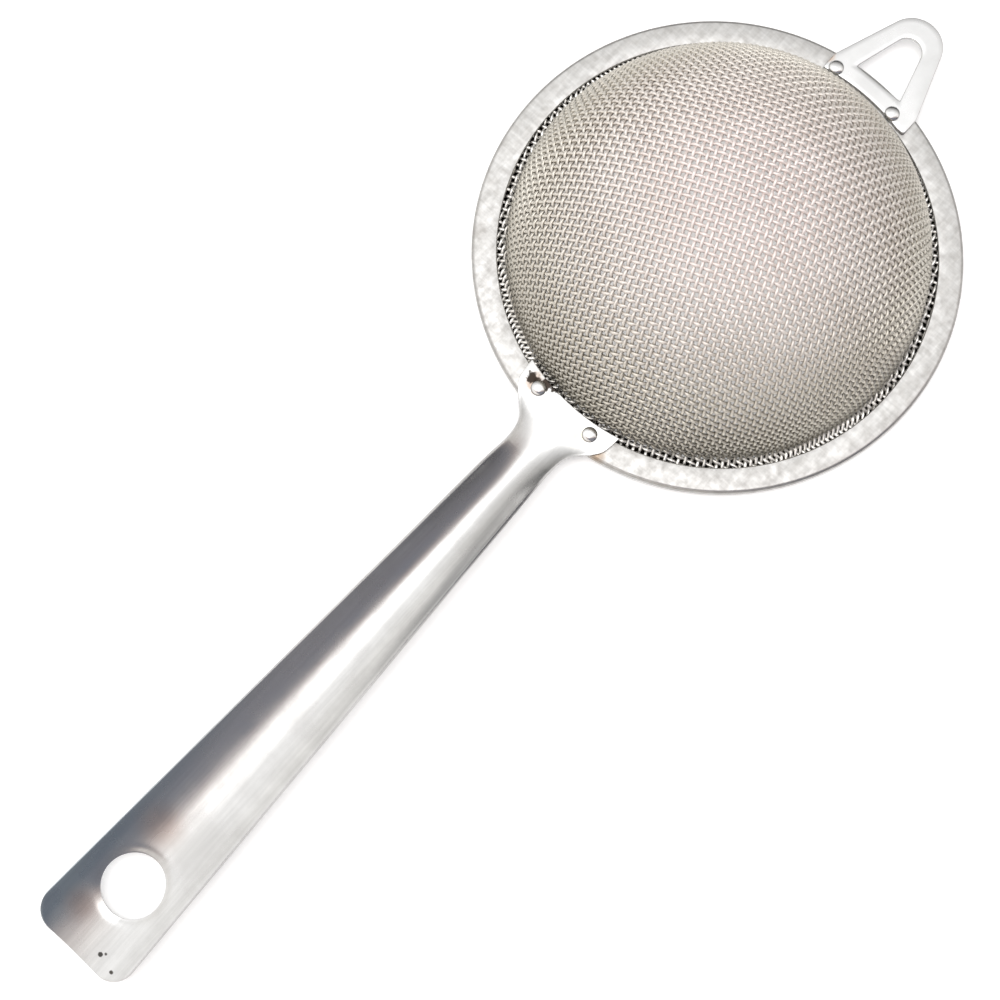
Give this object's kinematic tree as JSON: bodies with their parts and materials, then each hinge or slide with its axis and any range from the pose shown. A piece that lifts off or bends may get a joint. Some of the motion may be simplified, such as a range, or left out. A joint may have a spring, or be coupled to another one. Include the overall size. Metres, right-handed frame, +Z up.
{
  "type": "flour sifter",
  "caption": "Hand-held flour sifter: a domed bowl of woven wire in a flat folded metal rim, with a long channelled sheet handle with a hanging hole and a looped rest hook opposite.",
  "frame": {"origin": "on the resting plane, under the middle of the sifter's length and width; the rim's centre is 59.85 mm from it towards +X", "axes": "+Z up, with the sifter lying on its rim and the bowl's dome upward; X along the handle's axis, the handle towards -X and the hook towards +X"},
  "size_m": [0.2522, 0.1, 0.0376],
  "materials": {
    "rim_steel": "thin steel sheet, fine cross scratches, dull satin",
    "mesh_wire": "plain-woven steel wire, softly shiny, slightly warm",
    "handle_steel": "pressed steel sheet, polished lengthways, faint scratches",
    "hook_steel": "flat stamped steel sheet, polished",
    "rivet_steel": "small domed steel heads"
  },
  "bodies": {
    "root": {"rim": "rim_steel", "mesh_bowl": "mesh_wire", "handle": "handle_steel", "hook_plate": "hook_steel", "handle_rivet_left": "rivet_steel", "handle_rivet_right": "rivet_steel", "hook_rivet_left": "rivet_steel", "hook_rivet_right": "rivet_steel"}
  },
  "joints": []
}
